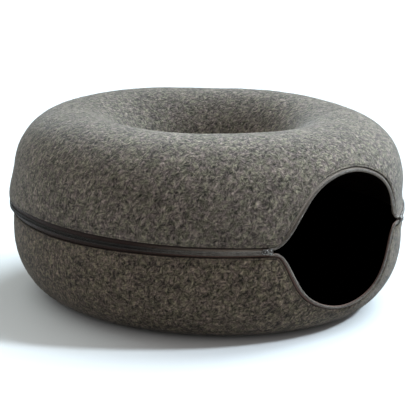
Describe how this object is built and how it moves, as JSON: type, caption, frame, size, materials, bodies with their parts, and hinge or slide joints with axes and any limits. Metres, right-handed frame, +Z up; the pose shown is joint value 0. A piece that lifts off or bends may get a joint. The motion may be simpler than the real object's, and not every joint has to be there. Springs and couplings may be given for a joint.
{
  "type": "felt cat cave",
  "caption": "Ring-shaped felt cat bed: moulded upper and lower halves zipped round the rim, with a round doorway between them and a hole through the middle.",
  "frame": {"origin": "on the floor, at the middle of the part's bounding box; the ring's axis stands 6.5 mm in front of it", "axes": "+Z up along the ring's axis; the doorway faces -Y"},
  "size_m": [0.5317, 0.5561, 0.2622],
  "materials": {
    "felt": "heathered grey wool felt, matt and fibrous",
    "tape": "dark brown woven zip tape",
    "coil": "dark grey moulded coil",
    "metal": "bright metal, lightly worn"
  },
  "bodies": {
    "root": {"upper_shell": "felt", "lower_shell": "felt", "zip_tape_upper": "tape", "zip_tape_lower": "tape", "zip_chain": "coil", "coil_upper": "coil", "coil_lower": "coil", "slider_left": "metal", "slider_right": "metal", "pull_left": "metal", "pull_right": "metal"}
  },
  "joints": []
}
